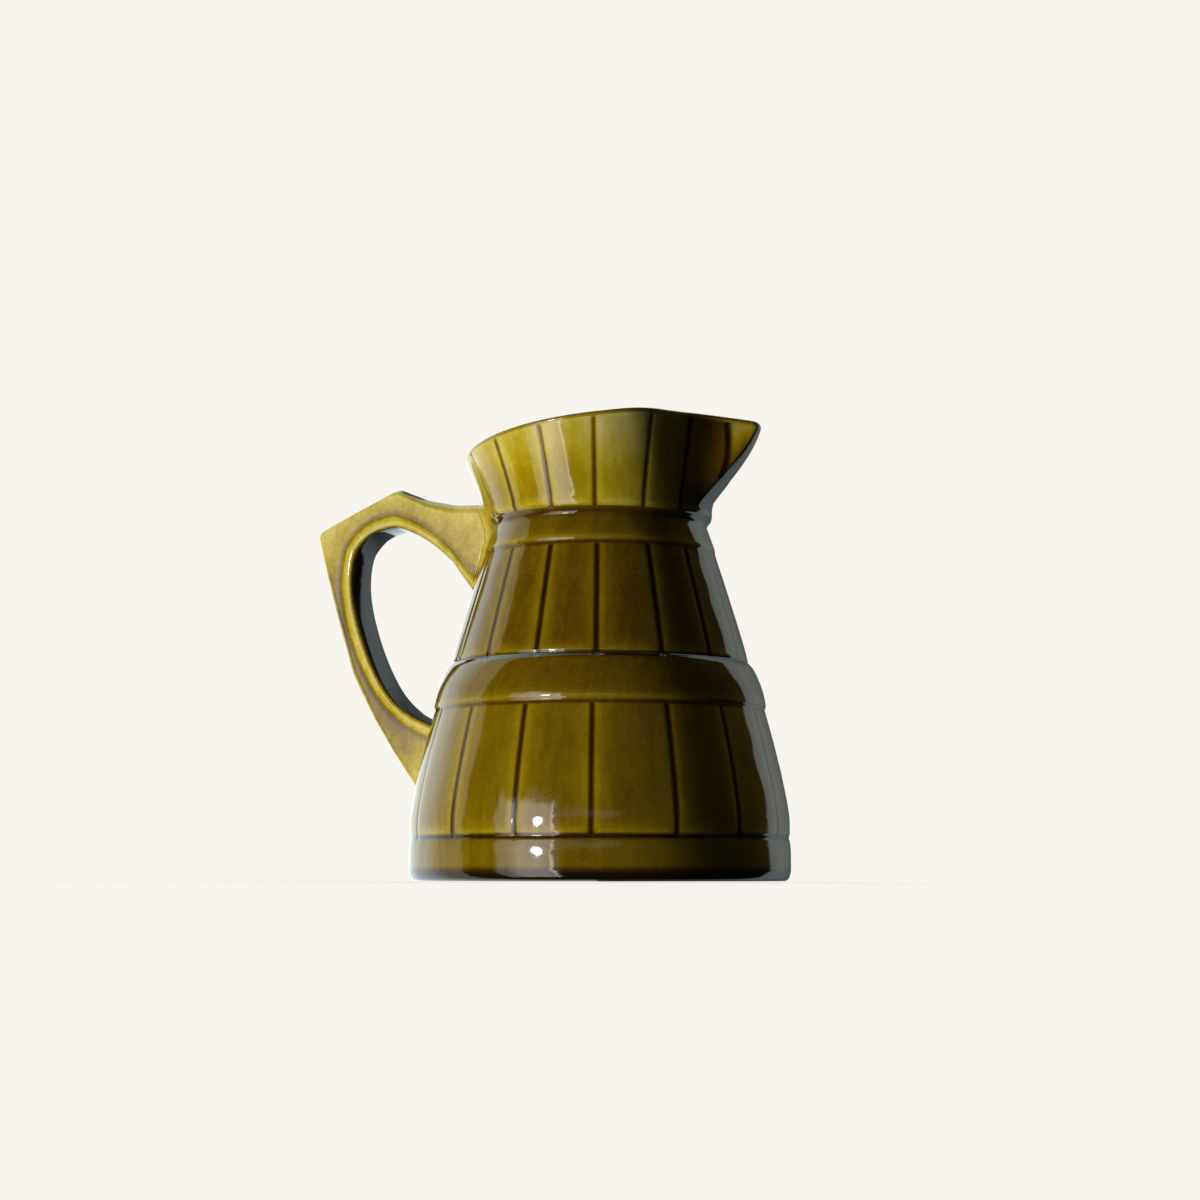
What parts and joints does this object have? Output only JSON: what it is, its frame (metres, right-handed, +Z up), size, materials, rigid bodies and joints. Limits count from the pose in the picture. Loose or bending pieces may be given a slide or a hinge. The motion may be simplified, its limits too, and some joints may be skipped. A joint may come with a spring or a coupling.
{
  "type": "ceramic pitcher",
  "caption": "Upright barrel-shaped glazed ceramic table jug with staves and bands in relief, a pinched pointed spout and an angular side handle.",
  "frame": {"origin": "centre of the jug's flat underside, on the axis of its round wall", "axes": "+Z up along the wall's axis, +X towards the spout, handle towards -X, +Y to the left of someone looking from handle to spout"},
  "size_m": [0.1636, 0.1208, 0.1452],
  "materials": {
    "olive_glaze": "glossy olive majolica glaze, darker where it pools",
    "amber_glaze": "glossy olive glaze, thin and yellow on raised edges",
    "slip_glaze": "glossy dark olive glaze pooled over the joint"
  },
  "bodies": {
    "root": {"body": "olive_glaze", "handle": "amber_glaze", "upper_luting_slip": "slip_glaze", "lower_luting_slip": "slip_glaze"}
  },
  "joints": []
}
